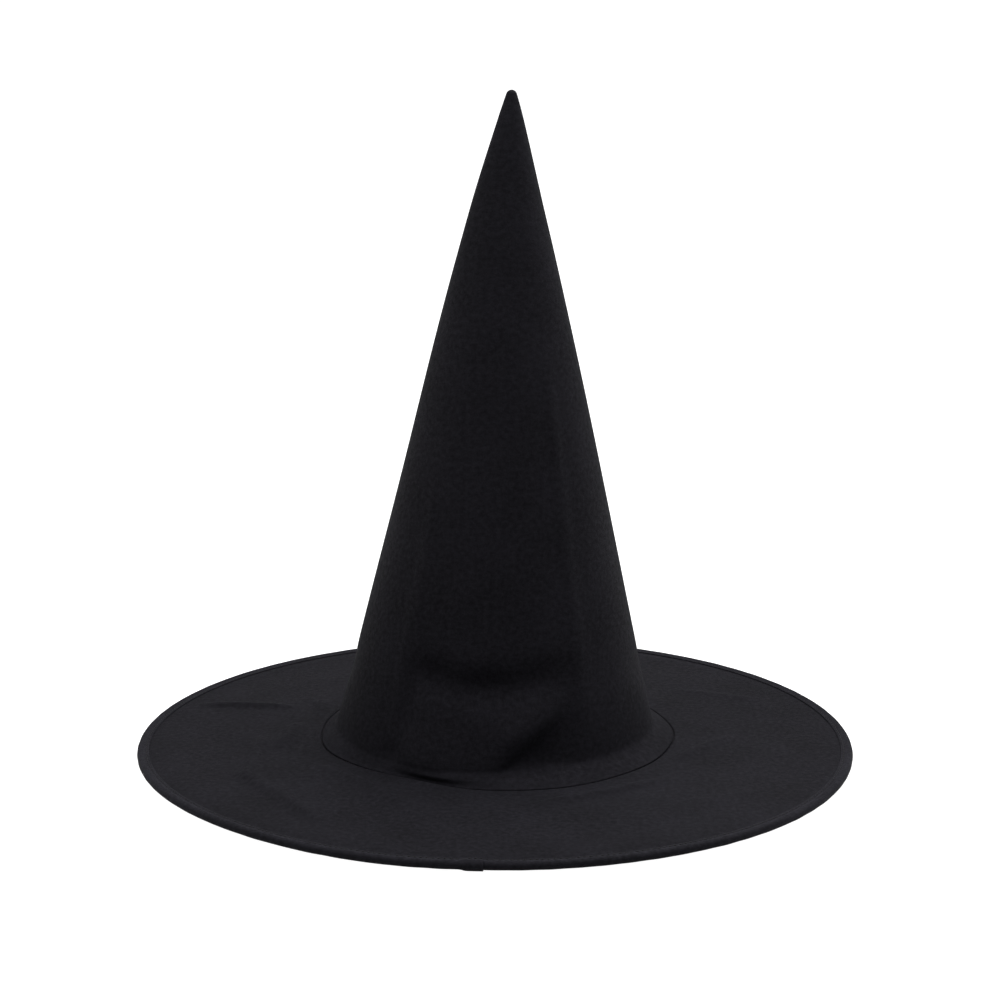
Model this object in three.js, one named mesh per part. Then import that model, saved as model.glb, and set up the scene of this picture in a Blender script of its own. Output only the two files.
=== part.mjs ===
// A cloth witch hat: a tall pointed crown on a wide round brim with a wire in its rim.
// Millimetres, +Z up. The origin is on the surface that the hat stands on, under the middle of the brim.
// Every sewn piece is a layer of cloth, turned round the axis from its section (radius, height).
import * as THREE from 'three';

// Driving dimensions.
const brimRadius = 190;
const hatHeight = 350;
const apexHeight = 357; // where the crown's straight sides would meet, above the rounded tip
const tipRadius = 2.7;
const footHeight = 20; // the crown's wall is measured here
const footRadius = 83;
const crownBulge = 2.4; // how far the sides swell past a straight cone, a third of the way down
const tipLean = 7.6; // how far the tip stands to +X of the brim's middle
const seamHeight = 8.5; // the seam between crown and brim
const seamRadius = 93.3;
const flangeHeight = 9; // the flat turned-out foot of the crown, next to the seam
const flareRadius = 6; // the hollow curve between wall and flange
const bendLow = 225; // no interlining between these two heights, so the crown bends there
const bendHigh = 265;
const tipFeltHigh = 343;

// Cloth and thread.
const cloth = 0.5;
const feltThick = 0.8; // interlining
const ribbonThick = 0.6; // sweatband
const gap = 0.3; // between two layers of one stack
const threadRadius = 0.25;

// The rim: a binding folded round a wire.
const rollRadius = 2.3;
const rollCentre = brimRadius - rollRadius;
const bindingInner = 184.6; // inner edge of the binding's two legs
const brimEdge = 185.9; // the brim's layers end here, inside the binding
const edgeFloor = 1.1; // underside of the brim at that edge
const seamFloor = 6; // underside of the brim at the seam
const brimSlopeStart = 96; // the brim slopes from here to its edge
const allowanceInner = 87.9; // the seam allowances end here, under the crown's foot
const feltLow = 19; // the lower interlining starts above the flare
const wireRadius = 0.7;
const joinerBore = 1;
const joinerRadius = 1.3;
const joinerLength = 16;
const wireEndGap = 0.6; // between the wire's two ends, inside the joiner

// Inside the crown.
const bandLow = 5;
const bandHigh = 32;
const bandMouth = 87; // the sweatband flares out to this radius at its lower edge
const mouthHeight = 7;
const bandKnee = 18; // it flares from here down
const tapeWidth = 8;
const tapeLow = 36;
const tapeHigh = 300;
const tapeThick = 0.4;
const labelWidth = 20;
const labelDrop = 24;
const labelThick = 0.4;
const labelTop = 30;
const labelHingeY = 76.7;

const turns = 48; // facets round the axis
const leanSlope = tipLean / (hatHeight - seamHeight);

// Outer radius of the crown's wall at a height: a cone, plus a swell that fades out at both ends.
function crownRadius(z) {
  const t = (apexHeight - z) / (apexHeight - footHeight);
  return footRadius * t + crownBulge * 6.75 * t * (1 - t) ** 2;
}

// Points on the crown's wall between two heights, from the higher one down.
function wallPath(high, low, steps) {
  const path = [];
  for (let i = 0; i <= steps; i++) {
    const z = high + ((low - high) * i) / steps;
    path.push(new THREE.Vector2(crownRadius(z), z));
  }
  return path;
}

// Points on an arc about (r, z), from one angle to another in degrees, both ends included.
function arcPath(r, z, radius, from, to, steps) {
  const path = [];
  for (let i = 0; i <= steps; i++) {
    const a = THREE.MathUtils.degToRad(from + ((to - from) * i) / steps);
    path.push(new THREE.Vector2(r + radius * Math.cos(a), z + radius * Math.sin(a)));
  }
  return path;
}

// The path moved sideways by a distance, to the right of its direction of travel, with mitred corners.
function offsetPath(path, distance) {
  return path.map((p, i) => {
    const before = p.clone().sub(path[Math.max(i - 1, 0)]).normalize();
    const after = path[Math.min(i + 1, path.length - 1)].clone().sub(p).normalize();
    const start = p.x === 0 ? new THREE.Vector2(after.x, -after.y) : after;
    const a = i === 0 ? start : before;
    const b = i === path.length - 1 ? before : after;
    const normal = new THREE.Vector2(a.y + b.y, -a.x - b.x);
    return p.clone().addScaledVector(normal, distance / (1 + a.dot(b)));
  });
}

// The closed section between two offsets of a path.
function layerSection(path, near, far) {
  const section = [...offsetPath(path, far), ...offsetPath(path, near).reverse()];
  if (section[0].x > 1e-6) section.push(section[0].clone());
  section.forEach((p) => {
    if (Math.abs(p.x) < 1e-6) p.x = 0;
  });
  return section;
}

// Everything above the seam leans with the crown.
function lean(geometry) {
  const place = geometry.getAttribute('position');
  for (let i = 0; i < place.count; i++) {
    const rise = Math.max(0, place.getZ(i) - seamHeight);
    place.setX(i, place.getX(i) + leanSlope * rise);
  }
  return geometry;
}

// A section turned round the Z axis.
function turned(section) {
  const geometry = new THREE.LatheGeometry(section, turns);
  geometry.rotateX(Math.PI / 2);
  return lean(geometry);
}

// A ring of round section about the Z axis.
function ring(radius, height, thickness, sides) {
  const section = arcPath(radius, height, thickness, 0, 360, sides);
  section[sides] = section[0].clone();
  return turned(section);
}

// The crown's outer surface, from the tip down to the flange.
function crownOutline() {
  const wallAngle = 16.3; // half angle of the cone at the tip
  const tip = arcPath(0, hatHeight - tipRadius, tipRadius, 90, wallAngle, 3);
  tip[0].x = 0;
  const slope = Math.atan((crownRadius(12) - crownRadius(28)) / 16);
  const footR = crownRadius(flangeHeight) + flareRadius * Math.tan(Math.PI / 4 - slope / 2);
  const flareTop = flangeHeight + flareRadius * (1 - Math.sin(slope));
  const wall = wallPath(hatHeight - 8, flareTop + 3, 7);
  const from = 180 + THREE.MathUtils.radToDeg(slope);
  const flare = arcPath(footR, flangeHeight + flareRadius, flareRadius, from, 270, 3);
  return [...tip, ...wall, ...flare];
}

function crownCloth() {
  const fold = cloth + gap / 2; // outer radius of the turned edge at the seam
  const edge = arcPath(seamRadius - fold, flangeHeight - fold, fold, 90, -90, 3);
  const allowance = new THREE.Vector2(allowanceInner, flangeHeight - 2 * fold);
  return turned(layerSection([...crownOutline(), ...edge, allowance], 0, cloth));
}

const feltNear = cloth + gap;
const feltFar = feltNear + feltThick;

function lowerCrownInterlining() {
  return turned(layerSection(wallPath(bendLow, feltLow, 4), feltNear, feltFar));
}

function tipInterlining() {
  return turned(layerSection(wallPath(tipFeltHigh, bendHigh, 3), feltNear, feltFar));
}

const liningNear = feltFar + gap; // where the layers inside the interlining start

// The sweatband lies on the interlining and flares out to the mouth, clear of the crown's foot.
function sweatband() {
  const inset = (z) => crownRadius(z) - liningNear * 1.05;
  const path = [
    new THREE.Vector2(inset(bandHigh), bandHigh),
    new THREE.Vector2(inset(bandKnee), bandKnee),
    new THREE.Vector2(bandMouth, mouthHeight),
    new THREE.Vector2(bandMouth, bandLow),
  ];
  return turned(layerSection(path, 0, ribbonThick));
}

// A strip of tape along the back of the crown, on the inside of its seam.
function backSeamTape() {
  const rows = 12;
  const columns = 2;
  const near = liningNear;
  const far = liningNear + tapeThick;
  const points = [];
  const faces = [];
  const index = (row, column, side) => (row * (columns + 1) + column) * 2 + side;
  for (let i = 0; i <= rows; i++) {
    const z = tapeLow + ((tapeHigh - tapeLow) * i) / rows;
    for (let j = 0; j <= columns; j++) {
      for (const depth of [near, far]) {
        const r = crownRadius(z) - depth * 1.05;
        const angle = Math.PI / 2 + (tapeWidth / r) * (0.5 - j / columns);
        points.push(r * Math.cos(angle), r * Math.sin(angle), z);
      }
    }
  }
  const quad = (a, b, c, d) => faces.push(a, b, c, a, c, d);
  for (let i = 0; i < rows; i++) {
    for (let j = 0; j < columns; j++) {
      quad(index(i, j, 0), index(i + 1, j, 0), index(i + 1, j + 1, 0), index(i, j + 1, 0));
      quad(index(i, j, 1), index(i, j + 1, 1), index(i + 1, j + 1, 1), index(i + 1, j, 1));
    }
    quad(index(i, 0, 0), index(i, 0, 1), index(i + 1, 0, 1), index(i + 1, 0, 0));
    quad(index(i, columns, 0), index(i + 1, columns, 0), index(i + 1, columns, 1), index(i, columns, 1));
  }
  for (let j = 0; j < columns; j++) {
    quad(index(0, j, 0), index(0, j + 1, 0), index(0, j + 1, 1), index(0, j, 1));
    quad(index(rows, j, 0), index(rows, j, 1), index(rows, j + 1, 1), index(rows, j + 1, 0));
  }
  const geometry = new THREE.BufferGeometry();
  geometry.setAttribute('position', new THREE.Float32BufferAttribute(points, 3));
  geometry.setIndex(faces);
  return lean(geometry);
}

// Underside of the brim at a radius.
function brimFloor(r) {
  const share = (brimEdge - r) / (brimEdge - brimSlopeStart);
  return edgeFloor + (seamFloor - edgeFloor) * Math.min(1, share);
}

const brimThick = 2 * cloth + feltThick + 2 * gap;

// The top cloth dips into the seam and runs on under the crown's foot as its allowance.
function brimTopCloth() {
  const lip = seamRadius + 1.2;
  const allowanceTop = flangeHeight - 2 * cloth - gap - gap; // one gap under the crown's own allowance
  const path = [
    new THREE.Vector2(brimEdge, brimFloor(brimEdge) + brimThick),
    new THREE.Vector2(lip + 1.2, brimFloor(lip + 1.2) + brimThick),
    new THREE.Vector2(lip + 0.4, brimFloor(lip) + brimThick - 0.15),
    new THREE.Vector2(lip, brimFloor(lip) + brimThick - 0.6),
    new THREE.Vector2(lip, allowanceTop),
    new THREE.Vector2(allowanceInner, allowanceTop),
  ];
  return turned(layerSection(path.reverse(), 0, cloth));
}

function brimInterlining() {
  const low = cloth + gap;
  const path = [brimEdge, brimSlopeStart].map((r) => new THREE.Vector2(r, brimFloor(r) + low));
  return turned(layerSection(path, 0, feltThick));
}

function brimUnderCloth() {
  const radii = [brimEdge, brimSlopeStart, allowanceInner];
  return turned(layerSection(radii.map((r) => new THREE.Vector2(r, brimFloor(r))), 0, cloth));
}

// The binding: a strip folded over the rim, with a leg above and a leg below.
function rimBinding() {
  const path = [
    new THREE.Vector2(bindingInner, 2 * rollRadius),
    ...arcPath(rollCentre, rollRadius, rollRadius, 90, -90, 4),
    new THREE.Vector2(bindingInner, 0),
  ];
  return turned(layerSection(path, 0, cloth));
}

// A section extruded along an arc of the rim's centre line, between two angles in degrees.
function alongRim(shape, from, to, steps, curveSegments) {
  const path = new THREE.Curve();
  path.getPoint = (t) => {
    const a = THREE.MathUtils.degToRad(from + (to - from) * t);
    return new THREE.Vector3(rollCentre * Math.cos(a), rollCentre * Math.sin(a), rollRadius);
  };
  return new THREE.ExtrudeGeometry(shape, { steps, curveSegments, extrudePath: path });
}

function roundShape(radius) {
  return new THREE.Shape().absarc(0, 0, radius, 0, 2 * Math.PI, false);
}

const joinerAngle = 120; // the wire's ends meet at this angle from +X

function rimWire() {
  const halfGap = THREE.MathUtils.radToDeg(wireEndGap / 2 / rollCentre);
  const from = joinerAngle + halfGap;
  return alongRim(roundShape(wireRadius), from, from + 360 - 2 * halfGap, 96, 3);
}

function wireJoiner() {
  const tube = roundShape(joinerRadius);
  tube.holes.push(new THREE.Path().absarc(0, 0, joinerBore, 0, 2 * Math.PI, true));
  const half = THREE.MathUtils.radToDeg(joinerLength / 2 / rollCentre);
  return alongRim(tube, joinerAngle - half, joinerAngle + half, 2, 4);
}

function baseSeamThread() {
  return ring(seamRadius + 0.6, seamHeight - 0.4, threadRadius, 4);
}

function rimSeamThread() {
  return ring(bindingInner + 1.2, 2 * rollRadius + gap + threadRadius, threadRadius, 4);
}

function sweatbandThread() {
  return ring(bandMouth - ribbonThick - gap - threadRadius, mouthHeight - 1, threadRadius, 4);
}

function careLabel() {
  return new THREE.BoxGeometry(labelWidth, labelThick, labelDrop);
}

// Finishes.
function finish(color, roughness, metalness = 0) {
  return new THREE.MeshStandardMaterial({ color, roughness, metalness });
}
const blackCloth = finish(0x1c1b20, 0.9);
const bindingCloth = finish(0x222127, 0.75);
const felt = finish(0x35343a, 1);
const ribbon = finish(0x19181c, 0.6);
const thread = finish(0x26252b, 0.6);
const satin = finish(0xe9e6df, 0.45);
const springSteel = finish(0x8d9096, 0.35, 1);
const crimpedSteel = finish(0xb4b6ba, 0.3, 1);

const hat = new THREE.Group();

function add(name, geometry, material) {
  const mesh = new THREE.Mesh(geometry, material);
  mesh.name = name;
  hat.add(mesh);
  return mesh;
}

add('crown_cloth', crownCloth(), blackCloth);
add('lower_crown_interlining', lowerCrownInterlining(), felt);
add('tip_interlining', tipInterlining(), felt);
add('back_seam_tape', backSeamTape(), bindingCloth);
add('brim_top_cloth', brimTopCloth(), blackCloth);
add('brim_interlining', brimInterlining(), felt);
add('brim_under_cloth', brimUnderCloth(), blackCloth);
add('rim_binding', rimBinding(), bindingCloth);
add('rim_wire', rimWire(), springSteel);
add('wire_joiner', wireJoiner(), crimpedSteel);
add('sweatband', sweatband(), ribbon);
add('base_seam_thread', baseSeamThread(), thread);
add('rim_seam_thread', rimSeamThread(), thread);
add('sweatband_thread', sweatbandThread(), thread);
add('care_label', careLabel(), satin).position.set(0, labelHingeY, labelTop - labelDrop / 2);

export default hat;
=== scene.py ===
# %% [markdown]
# # A cloth witch hat
# The hat is sewn from layers: cloth outside, felt interlining behind it, a ribbon sweatband inside the
# opening, and a wire hoop in the folded binding round the brim. Each layer here is a sheet with a real
# thickness. All of them are worked out from the same few shape functions, so they follow each other's
# folds and never pass through one another.

import bmesh
import bpy
import numpy as np
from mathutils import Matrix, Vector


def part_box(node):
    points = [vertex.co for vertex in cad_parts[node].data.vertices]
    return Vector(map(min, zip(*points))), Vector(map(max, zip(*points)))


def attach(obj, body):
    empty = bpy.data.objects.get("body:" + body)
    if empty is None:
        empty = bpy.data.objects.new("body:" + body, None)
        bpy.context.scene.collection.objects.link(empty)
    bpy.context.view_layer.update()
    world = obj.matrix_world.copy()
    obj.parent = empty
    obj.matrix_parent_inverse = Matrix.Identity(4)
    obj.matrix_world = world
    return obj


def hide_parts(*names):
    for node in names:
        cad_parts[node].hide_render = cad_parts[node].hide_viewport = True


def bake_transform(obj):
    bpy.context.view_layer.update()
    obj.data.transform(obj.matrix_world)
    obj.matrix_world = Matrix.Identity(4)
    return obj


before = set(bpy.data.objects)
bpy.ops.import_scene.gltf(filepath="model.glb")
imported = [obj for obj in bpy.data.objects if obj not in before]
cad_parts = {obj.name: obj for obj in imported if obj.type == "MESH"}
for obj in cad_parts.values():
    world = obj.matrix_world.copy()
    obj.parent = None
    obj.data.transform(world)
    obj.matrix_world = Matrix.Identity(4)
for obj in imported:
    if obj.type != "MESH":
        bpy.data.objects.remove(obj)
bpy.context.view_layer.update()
MM = 0.001

# %% [markdown]
# ## Camera, light and floor
# A long lens from a metre and a half away keeps the brim's ellipse flat. Black cloth shows its shape only
# by the light that grazes it, so a broad lamp hangs overhead and a little behind the hat, and two small ones
# stand left and right. A fourth, high in front, is weak, so that the near side stays dim. A pale floor lit
# by lamps would fade with distance. This one glows, so it is even all the way back. Its glow shows only as
# gloss, or it would light the brim from below. Seen from below the floor is clear, and the brim shows.

# %% Camera
LENS = 102.96  # focal length in millimetres
CAMERA_DISTANCE = 1.5
CAMERA_PITCH = np.radians(13.56)
LOOK_AT = np.array([0.0029, 0.0, 0.136])

camera_data = bpy.data.cameras.new("camera")
camera_data.lens = LENS
camera = bpy.data.objects.new("camera", camera_data)
bpy.context.scene.collection.objects.link(camera)
camera.location = LOOK_AT + CAMERA_DISTANCE * np.array([0, -np.cos(CAMERA_PITCH), np.sin(CAMERA_PITCH)])
camera.rotation_euler = (np.pi / 2 - CAMERA_PITCH, 0, 0)
bpy.context.scene.camera = camera
bpy.context.scene.view_settings.view_transform = "Standard"
print("camera at", [round(v, 3) for v in camera.location])


# %% Lamps
def softbox(name, place, target, size, power, colour):
    """A rectangular area lamp of size (width, height) in metres at place, facing target."""
    data = bpy.data.lights.new(name, "AREA")
    data.shape = "RECTANGLE"
    data.size, data.size_y = size
    data.energy = power
    data.color = colour
    lamp = bpy.data.objects.new(name, data)
    bpy.context.scene.collection.objects.link(lamp)
    lamp.location = place
    away = lamp.location - type(lamp.location)(target)
    lamp.rotation_euler = away.to_track_quat("Z", "Y").to_euler()


# each lamp's name, place, the point it faces, width and height, watts and colour
softbox("lamp_over", (0.6, 0.95, 2.8), (0, 0, 0), (2.8, 2.8), 150, (1.0, 0.985, 1.0))
softbox("lamp_left", (-0.6, -0.2, 0.68), (0, 0, 0.28), (0.5, 0.5), 4.3, (1.0, 0.99, 1.0))
softbox("lamp_front", (0.55, -1.45, 2.2), (0, 0, 0.15), (1.6, 1.2), 16, (1.0, 0.985, 1.0))
softbox("lamp_right", (0.62, -0.2, 0.68), (0, 0, 0.28), (0.5, 0.5), 3.6, (0.97, 0.97, 1.0))
ROOM_LIGHT = 0.25
world = bpy.data.worlds.new("studio")
world.use_nodes = True
world.node_tree.nodes["Background"].inputs["Color"].default_value = (1.0, 1.0, 1.0, 1)
world.node_tree.nodes["Background"].inputs["Strength"].default_value = ROOM_LIGHT
bpy.context.scene.world = world

# %% Floor
FLOOR_HALF = 12.0  # half its width in metres
FLOOR_GLOW = 1.0

floor_material = bpy.data.materials.new("pale_floor")
floor_material.use_nodes = True
floor_nodes, floor_links = floor_material.node_tree.nodes, floor_material.node_tree.links
floor_shader = floor_nodes["Principled BSDF"]
floor_shader.inputs["Base Color"].default_value = (0.3, 0.3, 0.3, 1)
floor_shader.inputs["Roughness"].default_value = 1.0
floor_shader.inputs["Specular IOR Level"].default_value = 0.0
floor_shader.inputs["Emission Color"].default_value = (1, 1, 1, 1)
floor_shader.inputs["Emission Strength"].default_value = FLOOR_GLOW
# the far side of the floor is clear, so that the underside of the brim can be seen
clear = floor_nodes.new("ShaderNodeBsdfTransparent")
side = floor_nodes.new("ShaderNodeNewGeometry")
one_way = floor_nodes.new("ShaderNodeMixShader")
floor_links.new(side.outputs["Backfacing"], one_way.inputs[0])
floor_links.new(floor_shader.outputs[0], one_way.inputs[1])
floor_links.new(clear.outputs[0], one_way.inputs[2])
floor_links.new(one_way.outputs[0], floor_nodes["Material Output"].inputs["Surface"])
floor_mesh = bpy.data.meshes.new("floor")
floor_corners = FLOOR_HALF * np.array([[-1, -1, 0], [1, -1, 0], [1, 1, 0], [-1, 1, 0]])
floor_mesh.from_pydata(floor_corners.tolist(), [], [(0, 1, 2, 3)])
floor_mesh.materials.append(floor_material)
floor = bpy.data.objects.new("floor", floor_mesh)
bpy.context.scene.collection.objects.link(floor)
floor.visible_diffuse = False  # the lamps light the hat, and the glow shows only as gloss
print("floor", floor.dimensions[0], "m wide")

# %% [markdown]
# ## Sizes
# The frame gives the places that matter. From here on heights and radii are in millimetres, and angles
# are in degrees from +X, so the front of the hat is at -90 and its back seam at +90.

# %% Sizes from the frame
def reach(node):
    """A CAD node's furthest point along +Y, its lowest point and its highest, in millimetres."""
    low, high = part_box(node)
    return high.y / MM, low.z / MM, high.z / MM


rim_radius, _, _ = reach("rim_binding")
seam_radius, _, hat_height = reach("crown_cloth")
_, felt_low, bend_low = reach("lower_crown_interlining")
_, bend_high, tip_felt_high = reach("tip_interlining")
_, band_low, band_high = reach("sweatband")
_, tape_low, tape_high = reach("back_seam_tape")
brim_edge, _, _ = reach("brim_top_cloth")
label_low, label_high = (np.array(corner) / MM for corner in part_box("care_label"))

FRONT, BACK = -90.0, 90.0
cloth = 0.5  # thickness of the black cloth
felt = 0.8  # thickness of the interlining
apex = 357.0  # where the crown's straight sides would meet
foot_height = 20.0
foot_radius = 83.0  # of the wall, at foot_height
crown_bulge = 2.4  # how far the wall swells past a straight cone
tip_radius = 2.7  # of the blunt tip
tip_lean = 7.6  # how far the tip leans to +X
flange_top = 9.0  # top of the crown's turned-out foot
corner_height = 14.8  # where the wall turns into the slope
turn_radius = 0.65  # of the folded edge at the seam
lap_angle = -94.0  # where the binding's ends lap
print("rim, seam and height:", [round(v, 1) for v in (rim_radius, seam_radius, hat_height)], "mm")
print("the tip bends between", round(bend_low, 1), "and", round(bend_high, 1), "mm")

# %% [markdown]
# ## The shape of worn cloth
# A sewn hat is never a true cone on a flat ring. The crown has been pressed flat in its packet, and has sat
# down on itself above the seam, and the seam ring has been pulled in on one side and pushed out on the
# other. This could be sculpted, or left to a cloth simulation. But five layers have to share every fold, so
# each is one line of a function that they all read: a fold runs between two points, and a dent is an oval.

# %% Smooth steps and humps
def ease(x, low, high):
    """0 below low, 1 above high, and 3 t^2 - 2 t^3 between, where t is the share of the way."""
    t = np.clip((x - low) / (high - low), 0, 1)
    return t * t * (3 - 2 * t)


def bump(x, width):
    """A smooth hump: e to the power of minus (x / width) squared."""
    return np.exp(-((x / width) ** 2))


def off_angle(angle, centre):
    """How far an angle is from a centre, in degrees, from -180 to 180."""
    return (angle - centre + 180) % 360 - 180


def waves(angle, along, seed, count, turns, length):
    """Soft unevenness, about -1 to 1: a sum of cosines of a whole number of turns * angle, plus
    2 pi * along / length, plus a phase."""
    rng = np.random.default_rng(seed)
    total = 0
    for _ in range(count):
        n = rng.integers(turns[0], turns[1] + 1)
        k = rng.uniform(-1, 1) / length
        total = total + np.cos(np.radians(n * angle) + 2 * np.pi * (k * along + rng.uniform()))
    return total / np.sqrt(2 * count)


def crease(x, y, run_x, run_y, width, lift, step):
    """A straight crease from (0, 0) to (run_x, run_y). At a distance d to its left the cloth moves out by
    lift * bump(d, width) + step * tanh(d / width) * bump(d, 4 width). Both ends fade away."""
    length = np.hypot(run_x, run_y)
    along = (x * run_x + y * run_y) / length**2
    across = (y * run_x - x * run_y) / length
    fade = ease(along, -0.12, 0.2) * (1 - ease(along, 0.75, 1.12))
    return fade * (lift * bump(across, width) + step * np.tanh(across / width) * bump(across, 4 * width))


print("a hump at 0, 1 and 2 widths:", [round(float(bump(x, 1)), 2) for x in (0, 1, 2)])

# %% The plain cone
def crown_radius(z):
    """Radius at a height: foot_radius * t plus a swell of crown_bulge * 6.75 t (1 - t)^2, where t is 1 at
    the foot and 0 at the apex."""
    t = (apex - z) / (apex - foot_height)
    return foot_radius * t + crown_bulge * 6.75 * t * (1 - t) ** 2


def lean(z):
    """How far the crown has shifted to +X at a height: in proportion to the height above the flange, with a
    slight bow halfway up and a nod of the tip."""
    straight = tip_lean * np.clip(z - flange_top + cloth, 0, None) / (hat_height - flange_top + cloth)
    return straight + 0.75 * bump(z - 170, 90) + 1.2 * ease(z, 285, 350)


print("the wall is", [round(float(crown_radius(z)), 1) for z in (20, 120, 220, 320)], "mm round its middle")

# %% Folds and dents
def fold(angle, z, start, end, width, lift=0.0, step=0.0):
    """A crease on the crown between two points, each (degrees, height)."""
    radius = crown_radius((start[1] + end[1]) / 2)
    x = np.radians(off_angle(angle, start[0])) * radius
    run_x = np.radians(off_angle(end[0], start[0])) * radius
    return crease(x, z - start[1], run_x, end[1] - start[1], width, lift, step)


def dent(angle, z, centre, size, depth, tilt=0.0):
    """A soft oval: depth * bump(along, size[0]) * bump(up, size[1]), turned by tilt degrees."""
    x = np.radians(off_angle(angle, centre[0])) * crown_radius(centre[1])
    y = z - centre[1]
    c, s = np.cos(np.radians(tilt)), np.sin(np.radians(tilt))
    return depth * bump(x * c + y * s, size[0]) * bump(y * c - x * s, size[1])


off_middle = dent(5, 100, (0, 100), (10, 5), 2.0)
print("a 2 mm dent is", round(float(off_middle), 2), "mm deep 5 degrees off its middle")


# %% The crown's own folds
def crown_folds(angle, z):
    """How far the crown's wall stands out from the plain cone, in millimetres."""
    out = 0.5 * waves(angle, z, 11, 9, (1, 4), 260) * ease(z, 12, 60) * (1 - ease(z, 290, 340))
    out = out + 0.15 * waves(angle, z, 12, 14, (4, 11), 120) * ease(z, 12, 50) * (1 - ease(z, 250, 320))
    out = out + 0.35 * ease(z, 120, 220)
    # pressed flat at the front, between two long soft edges
    out = out + fold(angle, z, (-55, 30), (-55, 215), 5.0, lift=1.1)
    out = out + fold(angle, z, (-127, 36), (-131, 150), 5.0, lift=0.9)
    out = out - 1.4 * bump(off_angle(angle, FRONT), 26) * ease(z, 30, 80) * (1 - ease(z, 170, 260))
    # sat down on itself above the seam: a valley with a swelling under it
    out = out + dent(angle, z, (-116, 58), (13, 9), -5.4, tilt=-16)
    out = out + dent(angle, z, (-95, 54), (20, 9), -5.2, tilt=2)
    out = out + dent(angle, z, (-72, 58), (14, 9), -3.6, tilt=14)
    out = out + dent(angle, z, (-83, 33), (12, 8), 1.8, tilt=34)
    # a sharp fold that runs up to the right over a hollow, and at the left a pocket and a long hollow
    out = out + fold(angle, z, (-98, 3), (-64, 44), 3.2, lift=0.6, step=2.3)
    out = out + dent(angle, z, (-75, 20), (15, 10), -3.2, tilt=24)
    out = out + dent(angle, z, (-130, 17), (7, 6), -1.5)
    out = out + dent(angle, z, (-126, 45), (5.5, 17), -2.8, tilt=8)
    out = out + fold(angle, z, (-131, 34), (-133, 96), 3.0, lift=0.4)
    out = out + fold(angle, z, (-118, 80), (-117, 108), 1.6, lift=-0.35)
    # the same, softer, round the sides and the back
    out = out + dent(angle, z, (-12, 48), (18, 8), -1.2, tilt=-10)
    out = out + dent(angle, z, (35, 44), (20, 9), -1.3, tilt=6)
    out = out + dent(angle, z, (128, 43), (26, 9), -1.5, tilt=-8)
    out = out + dent(angle, z, (60, 28), (16, 8), 1.0, tilt=20)
    out = out + dent(angle, z, (172, 46), (16, 8), -1.3, tilt=12)
    out = out + fold(angle, z, (150, 12), (166, 50), 3.0, lift=0.5, step=0.8)
    # at the lower left the wall sags out over its turned foot
    sag = 4.2 * bump(off_angle(angle, -110), 14) * ease(z, 8.8, 12.5) * (1 - ease(z, 13, 44))
    return out * ease(z, 10.0, 18.0) + sag


samples = np.meshgrid(np.arange(360.0), np.arange(15.0, 340.0))
print("the crown's folds span", round(float(np.ptp(crown_folds(*samples))), 1), "mm")


# %% The back seam
def back_seam(angle, z):
    """The crown's one seam: a narrow groove at the back between two soft lips, puckered every 11 mm."""
    d = np.radians(off_angle(angle, BACK)) * np.maximum(crown_radius(z), 1)
    pucker = 1 + 0.35 * np.cos(2 * np.pi * z / 11)
    lips = 0.32 * pucker * bump(np.abs(d) - 2.6, 1.7)
    return (lips - 0.55 * bump(d, 0.75)) * (1 - ease(z, 334, 346)) * ease(z, 8, 13)


print("the back seam's groove is", round(-float(back_seam(BACK, 100)), 2), "mm deep")


# %% The seam ring and the rim
def seam_shift(angle):
    """How far the seam ring is spread out or drawn in, in millimetres."""
    out = 2.6 * bump(off_angle(angle, -60), 34) - 5.4 * bump(off_angle(angle, -126), 25)
    out = out + 1.4 * bump(off_angle(angle, 0), 45) - 1.0 * bump(off_angle(angle, 175), 30)
    return out + 0.4 * np.cos(np.radians(5 * angle + 40)) + 0.25 * np.cos(np.radians(11 * angle))


def rim_rise(angle):
    """How far the rim stands off the floor, in millimetres: nothing at its lowest."""
    out = 1.35 * bump(off_angle(angle, -128), 40) + 0.75 * bump(off_angle(angle, -68), 34)
    out = out + 0.35 * bump(off_angle(angle, 20), 45) + 0.3 * bump(off_angle(angle, 85), 25)
    return out + 0.3 * bump(off_angle(angle, lap_angle), 8)


def rim_spread(angle):
    """How far the rim is off a true circle, in millimetres."""
    out = -2.4 * bump(off_angle(angle, -133), 28) - 0.9 * bump(off_angle(angle, -84), 26)
    out = out + 0.7 * bump(off_angle(angle, -38), 24) + 0.45 * bump(off_angle(angle, 8), 40)
    return out - 0.4 * bump(off_angle(angle, 135), 30) + 0.3 * bump(off_angle(angle, 178), 25)


def brim_slack(r, angle):
    """How far all the brim's layers wave up and down between the seam and the rim."""
    return 0.45 * waves(angle, r, 21, 8, (2, 6), 160) * ease(r, 98, 122) * (1 - ease(r, 160, 184))


turn_of_rim = np.arange(360.0)
print("rim rise", [round(float(f(rim_rise(turn_of_rim))), 2) for f in (np.min, np.max)])

# %% Wrinkles of the brim's top cloth
tuck_start, tuck_end = 93.45, 94.35  # where the top cloth comes out from under the crown's edge


def brim_fold(r, angle, start, end, width, lift=0.0, step=0.0):
    """A crease on the brim between two points, each (radius, degrees), in plan."""
    x0, y0 = (start[0] * f(np.radians(start[1])) for f in (np.cos, np.sin))
    x1, y1 = (end[0] * f(np.radians(end[1])) for f in (np.cos, np.sin))
    a = np.radians(angle)
    return crease(r * np.cos(a) - x0, r * np.sin(a) - y0, x1 - x0, y1 - y0, width, lift, step)


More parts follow.
